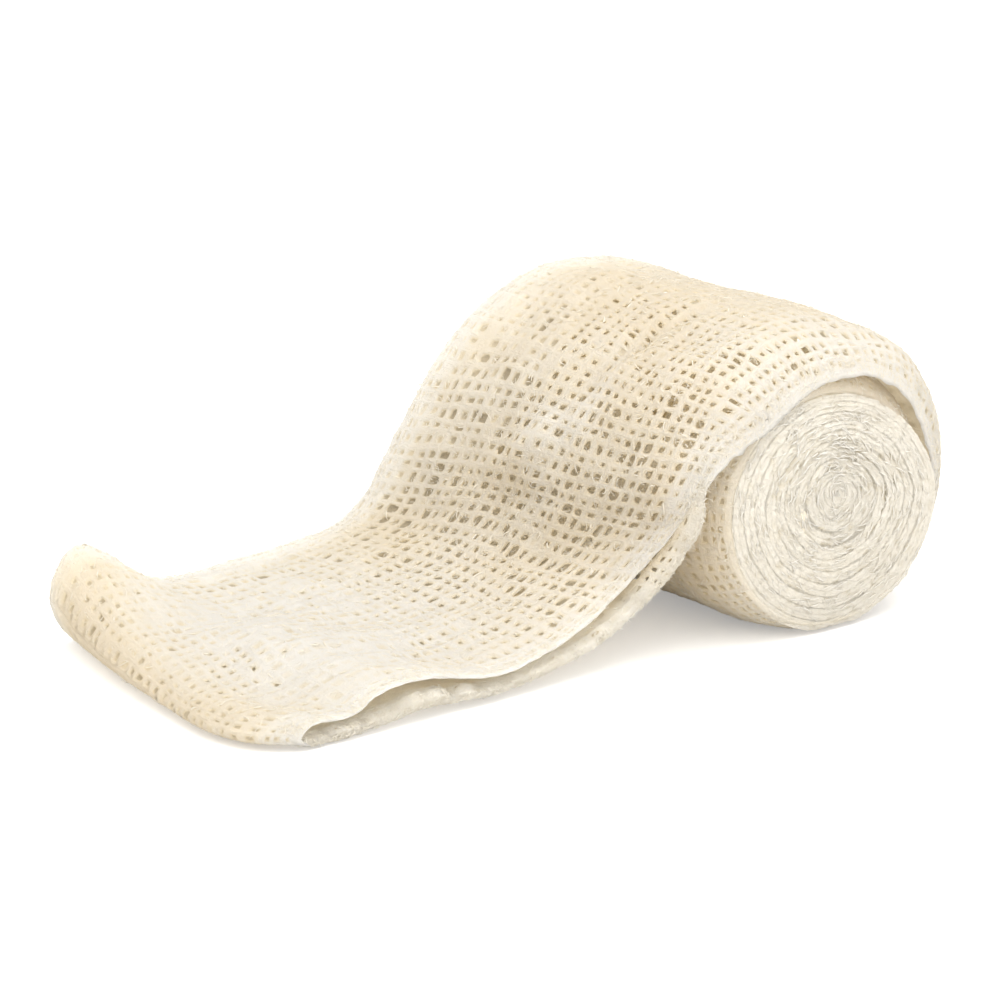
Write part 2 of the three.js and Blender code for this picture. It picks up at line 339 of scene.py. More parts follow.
def laid(length, across):
    """Places on the rippled cloth and the cloth's outward side there."""
    step_along, step_across = 0.3, 0.005
    run = rippled(length + step_along, across) - rippled(length - step_along, across)
    cross = rippled(length, across + step_across) - rippled(length, across - step_across)
    return rippled(length, across), unit(np.cross(cross, run))


def wander(rng, count, at, step):
    """count smooth random lines, each with a new value every step millimetres."""
    knots = rng.normal(size=(count, int(np.max(at) / step) + 6))
    place = np.asarray(at) / step + 1
    i = np.floor(place).astype(int)
    f = place - i
    a, b, c, d = (knots[:, i + k] for k in (-1, 0, 1, 2))
    return b + 0.5 * f * (c - a + f * (2 * a - 5 * b + 4 * c - d + f * (3 * (b - c) + d - a)))


# ---- meshes -------------------------------------------------------------------------------------


def cap_corners(around, flip):
    """Four corners of each face that closes a ring of points."""
    for k in range(around // 2 - 1):
        corners = np.array([k, k + 1, around - 2 - k, around - 1 - k])
        yield corners[::-1] if flip else corners


def strands(name, path, outward, size, sides, finish, tone=1.0, start=0.0):
    """Round strands as one mesh: path and outward are (strands, points, 3), size is half the
    thickness at each point, and start is the length at which each strand's map begins."""
    count, points, _ = path.shape
    way = unit(np.gradient(path, axis=1))
    beside = unit(np.cross(way, outward))
    up = np.cross(way, beside)
    turn = np.arange(sides) * 2 * math.pi / sides
    tube = (
        path[:, :, None, :]
        + beside[:, :, None, :] * (size[..., None] * np.cos(turn))[..., None]
        + up[:, :, None, :] * (size[..., None] * np.sin(turn))[..., None]
    )
    tube[..., 2] = np.maximum(tube[..., 2], 0.01)
    first = np.arange(count)[:, None, None] * points * sides
    ring = np.arange(points - 1)[None, :, None] * sides
    spoke = np.arange(sides)[None, None, :]
    at, after = first + ring + spoke, first + ring + (spoke + 1) % sides
    quads = [np.stack([at, after, after + sides, at + sides], -1).reshape(-1, 4)]
    steps = np.linalg.norm(np.diff(path, axis=1), axis=-1)
    length = np.cumsum(np.concatenate([np.zeros((count, 1)), steps], axis=1), axis=1)
    length = length + np.broadcast_to(start, (count,))[:, None]
    low, high = length[:, :-1, None], length[:, 1:, None]
    left, right = spoke / sides, (spoke + 1) / sides
    corners = ((low, left), (low, right), (high, right), (high, left))
    wall_spots = [np.stack(np.broadcast_arrays(*corner), -1) for corner in corners]
    spots = [np.stack(wall_spots, -2).reshape(-1, 4, 2)]
    for at_end, flip in ((0, True), ((points - 1) * sides, False)):
        for corners in cap_corners(sides, flip):
            quads.append(first[:, 0] + at_end + corners)
            spots.append(np.zeros((count, 4, 2)))
    tones = np.repeat(np.broadcast_to(tone, (count,)), points * sides)
    maps, marks = {"yarn": np.concatenate(spots)}, {"tone": tones}
    return mesh_piece(name, tube.reshape(-1, 3) * MM, np.concatenate(quads), finish, maps, marks)


def mesh_piece(name, places, quads, finish, maps=None, marks=None, flat_from=None):
    """A mesh object from four-cornered faces, in metres. It has maps, with a place for each corner,
    and marks, with a number for each point; from face flat_from on it is not smoothed."""
    data = bpy.data.meshes.new(name)
    data.vertices.add(len(places))
    data.vertices.foreach_set("co", np.ascontiguousarray(places, np.float32).ravel())
    data.loops.add(quads.size)
    data.loops.foreach_set("vertex_index", np.ascontiguousarray(quads, np.int32).ravel())
    data.polygons.add(len(quads))
    data.polygons.foreach_set("loop_start", np.arange(len(quads), dtype=np.int32) * 4)
    data.polygons.foreach_set("use_smooth", np.arange(len(quads)) < (flat_from or len(quads)))
    data.update(calc_edges=True)
    for kind, values in (maps or {}).items():
        layer = data.uv_layers.new(name=kind)
        layer.data.foreach_set("uv", np.ascontiguousarray(values, np.float32).ravel())
    for kind, values in (marks or {}).items():
        layer = data.attributes.new(kind, "FLOAT", "POINT")
        layer.data.foreach_set("value", np.ascontiguousarray(values, np.float32))
    data.validate()
    data.materials.append(finish)
    piece = bpy.data.objects.new(name, data)
    bpy.context.scene.collection.objects.link(piece)
    return piece


# ---- the weave ----------------------------------------------------------------------------------

rng = np.random.default_rng(41)

OPEN_PITCH = (STRIP_WIDTH - 2 * OPEN_FROM) / (OPEN_YARNS - 1)
WARP_PLACES = np.concatenate(
    [
        np.array(SELVEDGE),
        OPEN_FROM + OPEN_PITCH * np.arange(OPEN_YARNS),
        STRIP_WIDTH - np.array(SELVEDGE)[::-1],
    ]
)
WARPS = len(WARP_PLACES)
WARP_OPEN = np.array([OPEN_FROM - 0.1 <= y <= STRIP_WIDTH - OPEN_FROM + 0.1 for y in WARP_PLACES])

weft_steps = WEFT_PITCH * (1 + 0.15 * np.clip(rng.normal(size=400), -1.8, 1.8))
WEFT_PLACES = 0.3 + np.cumsum(weft_steps)
WEFT_PLACES = WEFT_PLACES[WEFT_PLACES < STRIP_LENGTH - 1.2]
WEFTS = len(WEFT_PLACES)

# Each yarn strays from its straight course, and the open weave as a whole is pulled about.
ALONG = np.arange(0, STRIP_LENGTH + 1, 0.5)
warp_stray = np.where(WARP_OPEN, 1, 0.4)[:, None] * (
    0.20 * wander(rng, WARPS, ALONG, 6.5) + 0.12 * wander(rng, WARPS, ALONG, 2.2)
)
ACROSS = np.arange(-2, STRIP_WIDTH + 2.1, 0.5)
weft_stray = 0.20 * wander(rng, WEFTS, ACROSS + 2, 8.0) + 0.12 * wander(rng, WEFTS, ACROSS + 2, 2.6)


# Unevenness of both faces of the cloth at each crossing and beside it, shared by the pieces.
ROUGH = 1 + 0.10 * rng.normal(size=(2, 3, WEFTS, WARPS))
RAGGED = 0.08 * wander(rng, 2, ALONG, 1.1) + 0.06 * wander(rng, 2, ALONG, 3.5)


def pulled_across(length, width):
    """How far the open weave is pulled over across the strip; its edges are not."""
    open_part = np.clip(np.minimum(width, STRIP_WIDTH - width) / 8, 0, 1)
    return 0.55 * wavy(SHIFT_ACROSS, length, width) * open_part


def pulled_along(length, width):
    return wavy(SHIFT_ALONG, length, width)


def lattice(first, last):
    """Where crosswise yarns first to last meet each lengthwise yarn: length and width."""
    length, width = np.meshgrid(WEFT_PLACES[first:last + 1], WARP_PLACES, indexing="ij")
    along, across = length.copy(), width.copy()
    for j in range(WARPS):
        across[:, j] += np.interp(length[:, j], ALONG, warp_stray[j])
    for i in range(first, last + 1):
        along[i - first] += np.interp(width[i - first], ACROSS, weft_stray[i])
    return along + pulled_along(length, width), across + pulled_across(length, width)


# How open the weave is along the strip, by row, and where it is closer or opener than that.
OPEN_ROWS = [0, 12, 17, 19, 21, 24, 25.4, 26.6, 28, 29.4, 30.4, 31.4, 33, 34.2, 35.5, 36.8, 39]
OPEN_SHARES = [0.4, 0.85, 0.8, 0.35, 0.45, 0.5, 0.66, 0.9, 1, 1, 0.7, 0.3, 0.1, 0.1, 0.2, 0.2, 0.06]
OPEN_SPOTS = [
    # row, share of the width, half size in rows and in share, change
    (26.6, 0.52, 0.6, 0.09, -0.65),  # crease down from the crown
    (25.2, 0.42, 0.5, 0.07, -0.35),
    (28.2, 0.25, 0.7, 0.06, 0.5),
    (25.0, 1.0, 2.2, 0.2, -0.4),  # far side, from the crown
    (28.6, 1.0, 2.2, 0.12, -0.6),  # down the ramp
    (32.4, 0.872, 1.7, 0.024, 1.8),  # a row of clear holes on the flat
    (32.6, 0.80, 2.0, 0.02, 0.5),
    (22.8, 0.07, 3.0, 0.04, 0.35),
    (44.7, 0.075, 1.6, 0.03, 1.3),  # down in the slit beside the ramp
    (31.3, 0.80, 1.0, 0.03, 0.5),
    (23.0, 0.16, 1.6, 0.06, 0.3),
    (25.6, 0.14, 1.2, 0.05, 0.5),
    (43.0, 0.03, 6.0, 0.05, 0.15),  # the rolled edge
    (36.6, 0.5, 1.0, 0.7, 0.25),  # the fold
    (26.6, 0.24, 0.55, 0.02, 0.8),  # single large holes
    (24.9, 0.73, 0.16, 0.02, 0.9),
    (27.3, 0.50, 0.18, 0.02, 0.8),
    (28.0, 0.46, 0.18, 0.02, 0.6),
    (26.3, 0.045, 0.18, 0.02, 1.0),
]
# Painted light and shade: where the cotton's colour is painted whiter, as a highlight where light falls
# full, or, below 0, tanner, as shade in hollows, folds and gaps.
PAINTED_LIGHT_SPOTS = [
    # row, share of the width, half size in rows and in share, change
    (20.0, 0.30, 1.2, 0.14, -0.9),  # inside the part that stands off
    (25.9, 0.42, 0.75, 0.06, 0.55),  # along the crease down from the crown
    (26.5, 0.52, 0.5, 0.10, 0.6),
    (27.6, 0.54, 0.7, 0.09, -0.45),  # hollow under it
    (28.3, 0.28, 1.3, 0.16, -0.3),
    (29.4, 0.86, 1.0, 0.12, -0.55),  # far foot of the ramp
    (36.0, 0.90, 1.2, 0.14, -0.4),  # far end of the fold
    (36.6, 0.60, 0.9, 0.60, -0.7),
    (45.3, 0.10, 1.4, 0.05, -1.0),  # down in the slit beside the ramp
    (33.2, 0.45, 2.3, 0.45, 1.6),  # the flat
    (22.5, 0.1, 2.5, 0.14, 0.4),
    (2.5, 0.03, 2.0, 0.12, -1.2),  # down in the gap on the right
    (42.0, 0.02, 4.5, 0.03, 0.95),  # the rolled edge
    (24.0, 0.6, 1.6, 0.3, -0.35),  # far side of the crown
    (42.0, 0.0, 6.0, 0.9, -0.3),  # inside the fold
    (8.0, 0.2, 8.0, 0.5, -0.3),
]


def spots_at(spots, row, share):
    """The sum of the spots' changes here."""
    here = np.zeros_like(row)
    for spot_row, spot_share, rows, shares, change in spots:
        near = ((row - spot_row) / rows) ** 2 + ((share - spot_share) / shares) ** 2
        here = here + change * np.exp(-near)
    return here


def openness(length, width):
    """How open the weave is here: 0 is closed, 1 as open as it comes."""
    row = row_at(length)
    here = np.interp(row, OPEN_ROWS, OPEN_SHARES) + spots_at(OPEN_SPOTS, row, width / STRIP_WIDTH)
    here = here * (1 + 0.32 * wavy(THINNING, length, width))
    inward = np.minimum(width, STRIP_WIDTH - width)
    closing = np.interp(row, [15, 18, 25, 26.5, 37, 38], [0, 0.5, 0.5, 1, 1, 0])
    near_loose = np.clip((row - 25) / 2, 0, 1)
    edge = 1 - closing * (1 - np.clip((inward - 0.6) / (2.8 + 1.8 * near_loose), 0.32, 1))
    return np.clip(here, 0.04, 1.3) * edge


def lined_here(length, width):
    """Where no hole goes right through: the lower ply, and margins with nothing close behind."""
    row, share = row_at(length), width / STRIP_WIDTH
    far_crown = (row > 21) & (row < 27.5) & (share > 0.64)
    far_side = (row > 17) & (share > 0.78)
    fold = (row > 35.7) | ((row > 34) & (share > 0.5))
    fold = fold & ~((row > 44.4) & (row < 46.5) & (share < 0.2))
    off_end = (row > 16) & (row < 23) & (share < 0.45)
    return far_crown | far_side | fold | off_end


def in_turn(first, second):
    """Two rows of values as one, with a value of each in turn."""
    row = np.empty(len(first) + len(second), first.dtype)
    row[0::2], row[1::2] = first, second
    return row


class Net:
    """The weave between two crosswise yarns as one closed mesh: its yarns are soft ridges that
    run into each other where they cross, with a hole, or a dimple where it is closed, between."""

    def __init__(self, first, last, seed):
        self.own = np.random.default_rng(seed)
        self.first, self.last = first, last
        self.table = []
        self.quads = []
        self.backs = []  # whether each face lies on the inner side
        self.count = 0
        self.crossings()
        self.cells()
        self.open_cells()
        self.closed_cells()
        self.selvedges()
        self.cuts()

    def points(self, *columns):
        """Adds points and gives their numbers, in the same layout. The columns are length, width,
        height, lie (1 where fibres run along the strip, 0 across it) and deep (0 on a ridge, 1
        down in a hole, more in a pit), which paints shade into the colour, the more the deeper."""
        columns = np.broadcast_arrays(*columns)
        numbers = self.count + np.arange(columns[0].size).reshape(columns[0].shape)
        self.table.append(np.stack([column.ravel() for column in columns], -1))
        self.count += columns[0].size
        return numbers

    def faces(self, a, b, c, d, back):
        quads = np.stack([a, b, c, d], -1).reshape(-1, 4)
        self.quads.append(quads if back else quads[:, ::-1])
        self.backs.append(np.full(len(quads), back))

    def bands(self, rings, back):
        """Faces between each ring of points and the next; rings are (cells, points)."""
        for outer, inner in zip(rings, rings[1:]):
            self.faces(outer, np.roll(outer, -1, 1), np.roll(inner, -1, 1), inner, back)

    def cap(self, ring, back):
        for a, b, c, d in ((0, 1, 2, 3), (0, 3, 4, 7), (7, 4, 5, 6)):
            self.faces(ring[:, a], ring[:, b], ring[:, c], ring[:, d], back)

    def crossings(self):
        """Points of both faces where yarns cross, and midway between those knots both ways."""
        length, width = lattice(self.first, self.last)
        thick = NET_THICK * (1 + 0.10 * wavy(THINNING, length + 90, width))
        over = np.where((np.arange(self.first, self.last + 1)[:, None] + np.arange(WARPS)) % 2, 1, -1)
        middle = [(a[1:] + a[:-1]) / 2 for a in (length, width, thick)]
        side = [(a[:, 1:] + a[:, :-1]) / 2 for a in (length, width, thick)]
        self.kinds = {
            # length, width, height over the middle of the cloth, lie of the fibres
            "knot": (length, width, thick * KNOT_RISE, np.full_like(length, 0.5)),
            "middle": (*middle, np.ones_like(middle[0])),
            "side": (*side, np.zeros_like(side[0])),
        }
        self.numbers = {False: {}, True: {}}
        for back, way in ((False, 1), (True, -1)):
            rough = ROUGH[int(back), :, self.first:self.last + 1]
            roughs = {"knot": rough[0], "middle": rough[1, :-1], "side": rough[2, :, :-1]}
            for kind, (along, across, high, lie) in self.kinds.items():
                lie = 0.5 + 0.5 * over * way if kind == "knot" else lie
                high = way * high * roughs[kind]
                # The inner side's points get deep 0.45: painted shade, tanner, on the side that faces in.
                self.numbers[back][kind] = self.points(along, across, high, lie, 0.45 * back)

    def cells(self):
        """The outline of each cell and of its hole, as rings of eight points."""
        start, end, every = slice(0, -1), slice(1, None), slice(None)
        round_cell = [
            ("knot", (start, start)), ("middle", (every, start)),
            ("knot", (end, start)), ("side", (end, every)),
            ("knot", (end, end)), ("middle", (every, end)),
            ("knot", (start, end)), ("side", (start, every)),
        ]

        def ring_of(tables):
            return np.stack([tables[kind][place].ravel() for kind, place in round_cell], -1)

        self.outline = {back: ring_of(self.numbers[back]) for back in (False, True)}
        length, width, self.high, lie = (
            ring_of({kind: columns[k] for kind, columns in self.kinds.items()}) for k in range(4)
        )
        count = len(length)

        def uneven(amount, columns=1):
            return amount * self.own.normal(size=(count, columns))

        centre = length[:, ::2].mean(1, keepdims=True), width[:, ::2].mean(1, keepdims=True)
        self.size = size = np.sqrt(openness(*centre)) * (1 + uneven(0.26))
        tall = HOLE_SHARE * size * (1 + uneven(0.16))
        wide = HOLE_SHARE * 0.95 * size * (1 + uneven(0.16))
        closed, lined = size < CLOSED_BELOW, lined_here(*centre)
        self.shut = (closed | lined)[:, 0]
        self.pitted = lined & ~closed
        # Closed cells keep a broad soft dimple, longest along the strip.
        tall = np.where(closed, 0.58 + uneven(0.18), np.clip(tall, 0.16, 0.78))
        wide = np.where(closed, 0.24 + uneven(0.10), np.clip(wide, 0.16, 0.78))
        tall, wide = np.clip(tall, 0.1, 0.8), np.clip(wide, 0.1, 0.7)
        # A hole's outline is the cell's, drawn in to near its middle, with its corners rounded.
        at_corner = np.arange(8) % 2 == 0
        round_in = np.where(at_corner, 0.84, 1.02) * (1 + uneven(0.13, 8))
        self.outlines = []
        for outer, share in ((length, tall), (width, wide)):
            middle = (outer[:, 3:4] + outer[:, 7:8]) / 2
            hole = middle + (outer - middle) * share * round_in + uneven(0.15) * (1 - share)
            self.outlines.append((outer, hole))
        self.lie = np.where(at_corner, 0.5, lie)
        # The points on a cut keep their height, level with the next piece.
        row, corner = np.arange(count)[:, None] // (WARPS - 1), np.arange(8)[None, :]
        self.level = (row == 0) & np.isin(corner, (0, 6, 7))
        self.level |= (row == self.last - self.first - 1) & np.isin(corner, (2, 3, 4))

    def ring(self, cells, part, share, back, deep):
        """Points from the cells' outline (part 0) to their holes' (part 1), at a share of the
        height there."""
        tall = self.high[cells] * share * (1 + 0.06 * self.own.normal(size=(cells.sum(), 8)))
        if np.max(part) < 0.72:
            tall = np.where(self.level[cells], self.high[cells], tall)
        along, across = (outer[cells] * (1 - part) + hole[cells] * part for outer, hole in self.outlines)
        return self.points(along, across, -tall if back else tall, self.lie[cells], deep)

    def open_cells(self):
        """Both faces slope in to a waist round each hole."""
        gap = ~self.shut
        # The deep values paint shade into the colour, darker down towards each hole.
        top_a = self.ring(gap, 0.50, 0.90, False, 0.28)
        top_b = self.ring(gap, 0.86, 0.52, False, 0.7)
        waist = self.ring(gap, 1.0, 0.0, False, 1.0)
        low_b = self.ring(gap, 0.80, 0.62, True, 0.6)
        self.bands([self.outline[False][gap], top_a, top_b, waist], False)
        self.bands([self.outline[True][gap], low_b, waist], True)

    def closed_cells(self):
        """Both faces are dimpled, the outer one as deep as a pit where a lined hole would be."""
        shut, size = self.shut, self.size[self.shut]
        plain = (size / CLOSED_BELOW) ** 1.3 * self.own.uniform(0.15, 1.25, size.shape)
        plain = np.clip(plain, 0.03, 1)
        pit = np.clip(self.pitted[shut] * (size - 0.1), 0, 1)
        # The deep values paint shade into each dimple, and a dark pit bottom where a lined hole would be.
        top_a = self.ring(shut, 0.55 + 0.15 * pit, 1 - 0.12 * plain, False, 0.25 * plain)
        top_b = self.ring(shut, 1.0, 1 - plain - 0.6 * pit, False, 0.9 * plain + pit)
        # The inner dimple is never so deep that it meets the outer one.
        dent = self.own.uniform(0.1, 1, size.shape)
        low = np.maximum(0.85 - 0.6 * dent, plain + 0.6 * pit - 0.8)
        low_b = self.ring(shut, 0.62, low, True, 0.3 + 0.3 * dent)
        for back, rings in ((False, [top_a, top_b]), (True, [low_b])):
            self.bands([self.outline[back][shut]] + rings, back)
            self.cap(rings[-1], back)

    def selvedges(self):
        """Closes each edge round with a soft, slightly ragged rim."""
        self.rims = []
        for j, way in ((0, -1), (WARPS - 1, 1)):
            line = in_turn(*(self.kinds[kind][0][:, j] for kind in ("knot", "middle")))
            tops, lows = (
                in_turn(*(self.numbers[back][kind][:, j] for kind in ("knot", "middle")))
                for back in (False, True)
            )
            # Less ragged over the roll, where the edge curls in and would show it larger.
            ragged = np.interp(line, ALONG, RAGGED[int(way > 0)])
            ragged = ragged * np.interp(row_at(line), [25.5, 27.5], [0.2, 1.5])
            edge = 0.0 if way < 0 else STRIP_WIDTH
            out = np.clip(ragged, -0.3, 0.4)
            inner = edge + way * (out * 0.8 - 0.03)
            rim = self.points(line, edge + way * (0.12 + out), 0.3 * ragged, 0.8, 0.0)
            top_inner = self.points(line, inner, NET_THICK * EDGE_THICK, 0.8, 0.0)
            low_inner = self.points(line, inner, -NET_THICK * EDGE_THICK, 0.8, 0.0)
            for outer, inner, back in (
                (tops, top_inner, False), (top_inner, rim, False),
                (lows, low_inner, True), (low_inner, rim, True),
            ):
                a, b, c, d = outer[:-1], inner[:-1], inner[1:], outer[1:]
                if way > 0:
                    a, b, c, d = a, d, c, b
                self.faces(a, b, c, d, back)
            self.rims.append((way, tops, top_inner, low_inner, lows))

    def cuts(self):
        """Closes the mesh where it is cut from the next piece."""
        self.cut_from = sum(len(quads) for quads in self.quads)
        for at, flip in ((0, False), (-1, True)):
            top, low = (
                in_turn(*(self.numbers[back][kind][at] for kind in ("knot", "side")))
                for back in (False, True)
            )
            self.faces(top[:-1], top[1:], low[1:], low[:-1], flip)
            for way, *lines in self.rims:
                turned = flip if way > 0 else not flip
                self.faces(*(np.array([line[at]]) for line in lines), turned)

    def mesh(self, name, finish):
        length, width, height, lie, deep = np.concatenate(self.table).T
        place, out = laid(length, width / STRIP_WIDTH)
        place = place + out * height[:, None]
        place[:, 2] = np.maximum(place[:, 2], FLOOR_GAP)
        # The tone: whiter towards the selvedges of the loose part, plus the painted highlights and painted
        # shade from the table of spots.
        loose = np.clip((length - length_at(OFF_TIGHT - 3)) / 25, 0, 1)
        tone = loose * np.clip(1 - np.minimum(width, STRIP_WIDTH - width) / 4.2, 0, 1) ** 0.7
        tone = tone + spots_at(PAINTED_LIGHT_SPOTS, row_at(length), width / STRIP_WIDTH)
        # The map for baking has both faces of the cloth laid flat, one above the other.
        quads = np.concatenate(self.quads)
        along, across = length[quads.ravel()], width[quads.ravel()]
        low, high = length.min() - 0.5, length.max() + 0.5
        up = (across + 1) / (STRIP_WIDTH + 2) * 0.47 + 0.01 + 0.5 * np.repeat(np.concatenate(self.backs), 4)
        maps = {
            "yarn": np.stack([along, across], -1),
            "OFBake": np.stack([(along - low) / (high - low), up], -1),
        }
        marks = {"tone": tone, "lie": lie, "deep": deep}
        return mesh_piece(name, place * MM, quads, finish, maps, marks, self.cut_from)


def woven(name, row_from, row_to, seed, finish):
    """The strip's weave from one row to another, to the nearest crosswise yarn."""
    first = int(np.searchsorted(WEFT_PLACES, length_at(row_from)))
    last = min(int(np.searchsorted(WEFT_PLACES, length_at(row_to))), WEFTS - 1)
    return Net(first, last, seed).mesh(name, finish)


# ---- the wound turns ----------------------------------------------------------------------------


def shoulder_outline():
    """Half section of an end, from its middle out: share of the radius, drop and place outward."""
    drop, across_end, round_shoulder = SHOULDER + 0.6, 14, 8
    shares = [k / across_end for k in range(across_end)]
    turns = [math.pi / 2 * (1 - k / round_shoulder) for k in range(round_shoulder + 1)]
    return [(share, drop, CROWN * (1 - share**2)) for share in shares] + [
        (1, drop * (1 - math.cos(turn)), -SHOULDER_LONG * (1 - math.sin(turn))) for turn in turns
    ]


def wound_body(finish):
    """The mass of the inner turns, just inside the woven outer turn."""
    around, under = 140, 1.25
    turn = np.arange(around) * 2 * math.pi / around
    rows = []
    for side in (-1, 1):
        edge = STRIP_WIDTH / 2 - 0.6
        part = [(share, drop, side * (edge + out)) for share, drop, out in shoulder_outline()]
        rows += part if side < 0 else part[::-1]
    places = []
    for share, drop, y in rows:
        radius = (roll_radius(turn) - under - drop) * max(share, 0.02)
        height = np.maximum(ROLL_MIDDLE + radius * np.sin(turn), 1.1)
        places.append(np.stack([radius * np.cos(turn), np.full(around, y), height], -1))
    places = np.array(places)
    i, j = np.meshgrid(np.arange(len(rows) - 1), np.arange(around), indexing="ij")
    at, after = i * around + j, i * around + (j + 1) % around
    walls = np.stack([at, after, after + around, at + around], -1).reshape(-1, 4)
    caps = [
        at_end + corners
        for at_end, flip in ((0, True), ((len(rows) - 1) * around, False))
        for corners in cap_corners(around, flip)
    ]
    quads = np.vstack([walls, caps])[:, ::-1]
    return mesh_piece("wound_body", places.reshape(-1, 3) * MM, quads, finish)


SPIRAL_FROM = 105  # where the turns at an end begin, under the last one
RIM_IN = 0.8  # how far inside the shoulder the rim of an end lies
MEAN_RADIUS = 15  # of the turns at an end
# How much farther out an end's rim lies towards the side where the last turn comes off.
RIM_ANGLES = [-150, -120, -90, -60, -25, -5, 15, 40, 70]
RIM_FARTHER = [0.1, 1.3, 2.7, 3.1, 3.3, 3.0, 1.5, 0.3, 0]


def turn_edge_at(end, angle, share, radial, out):
    """Places on an end of the roll: angle, share of the rim's radius, and shifts from there."""
    farther = np.interp(np.degrees(angle), RIM_ANGLES, RIM_FARTHER, period=360) * (end < 0)
    rim = roll_radius(angle) - SHOULDER - RIM_IN + farther
    radius = rim * share + radial
    x = radius * np.cos(angle) + 0.25 * (1 - share)
    z = ROLL_MIDDLE + radius * np.sin(angle) + 1.5 * (1 - share)
    y = end * (STRIP_WIDTH / 2 - 0.35 + 0.33 * farther * share + CROWN * (1 - share**2) + out)
    return np.stack([x, y, np.maximum(z, 0.6)], -1)


def spiral_share(turns_in):
    """Share of the rim's radius after a number of plies, in from the outermost."""
    return 1 - turns_in / (2 * TURNS)


def spiral_quads(rows, around, step):
    """Faces of a surface wound as a spiral: the last point of a row leads on to the first point of
    the row that lies step rows on."""
    numbers = np.arange(rows * around).reshape(rows, around)
    at, to = numbers[:-1], numbers[1:]
    wrap = np.arange(rows - 1) + step
    ahead = np.column_stack([at[:, 1:], np.minimum(wrap, rows - 1) * around])
    ahead_to = np.column_stack([to[:, 1:], np.minimum(wrap + 1, rows - 1) * around])
    keep = np.ones(at.shape, bool)
    keep[:, -1] = wrap + 1 <= rows - 1
    return np.stack([at, ahead, ahead_to, to], -1)[keep]


def end_face(name, end, seed, around, finish):
    """An end of the roll: the plies' selvedges side by side in a spiral, as low soft ridges with
    short uneven furrows between them."""
    own = np.random.default_rng(seed)
    steps, outside = 5, 9  # rows of points to a ply, and rows outside the outermost ply
    rows = int(2 * TURNS * steps) + outside
    n, a = np.meshgrid(np.arange(rows), np.arange(around), indexing="ij")
    plies_in = (n - outside) / steps + 2 * a / around
    share = np.clip(spiral_share(plies_in), 0.008, None)
    angle = -end * (2 * math.pi * a / around) + math.radians(SPIRAL_FROM)
    # Noise follows each ply round and round: its length so far, in millimetres.
    turn = a / around + (n - outside) // steps // 2
    reach = np.abs(2 * math.pi * MEAN_RADIUS * (turn - turn**2 / (2 * TURNS))) + 40
    ply = ((n - outside) // steps) % 2
    phase = ((n - outside) % steps) / steps

    def along_ply(step, which=0 * ply):
        """Noise with a new value every step millimetres, for one line of it or one for each ply."""
        fine = 0.25
        lines = wander(own, 2, np.arange(0, 620, fine), step)
        at = np.minimum((reach / fine).astype(int), 2470)
        part = reach / fine - at
        return lines[which, at] * (1 - part) + lines[which, at + 1] * part

    level = 0.05 * along_ply(3.0) + 0.10 * along_ply(16.0)
    # How much each ply's ridge, each pair of plies and the furrow beside them stand out here.
    dash = np.clip(0.55 + 0.55 * along_ply(0.9, ply), 0, 1.4)
    clot = np.clip(0.5 + 0.6 * along_ply(1.3, ply), 0, 1.4)
    furrow = np.clip(0.2 + 0.6 * along_ply(1.2, ply), 0, 1.2)
    ridge = 0.5 - 0.5 * np.cos(2 * math.pi * phase)
    double = 0.5 - 0.5 * np.cos(math.pi * (((n - outside) % (2 * steps)) / steps))
    fade = np.interp(share, [0.1, 0.25, 0.55, 1], [0.35, 1.15, 0.8, 0.4])
    pit = np.clip(1.3 * along_ply(0.9, ply) - 0.9, 0, 1) * (1 - ridge) ** 0.5
    rise = fade * (level + 0.07 * ridge * dash + 0.10 * double * clot - 0.02 * (1 - double) * furrow)
    rise = rise - 0.2 * fade * pit + 0.05 * np.clip(share / 0.4, 0.1, 1) * own.normal(size=rise.shape)
    sway = 0.13 * along_ply(3.0)
    flat_x, flat_z = (roll_radius(angle) * share * turned(angle) for turned in (np.cos, np.sin))
    rise = rise + 0.07 * np.clip(share / 0.3, 0.4, 1) * wavy(WOOL, flat_x, flat_z)
    rise = rise - 0.2 * (np.clip(share - 1, 0, 1) * MEAN_RADIUS) ** 2  # drops away past the rim
    places = turn_edge_at(end, angle, share, sway * fade, rise)
    quads = spiral_quads(rows, around, 2 * steps)
    # The colour's painted shade: 1 deep in a furrow or pit, and 0 on ridges and in the cream-white middle.
    cream = np.exp(-(((places[..., 0] - 1.5) / 5) ** 2) - ((places[..., 2] - ROLL_MIDDLE + 1.5) / 3.5) ** 2)
    deep = ((1 - ridge) * 0.15 + (1 - double) * 0.35) * furrow * fade + 0.8 * fade * pit - 0.5 * cream
    deep = deep - 0.25 * np.clip(1 - share / 0.35, 0, 1) - 0.12 * wavy(WOOL, flat_x, flat_z)
    deep = np.clip(deep, 0, 1)
    spots = np.stack([reach, phase], -1).reshape(-1, 2)
    maps, marks = {"yarn": spots[quads.ravel()]}, {"tone": deep.ravel()}
    return mesh_piece(name, places.reshape(-1, 3) * MM, quads, finish, maps, marks)


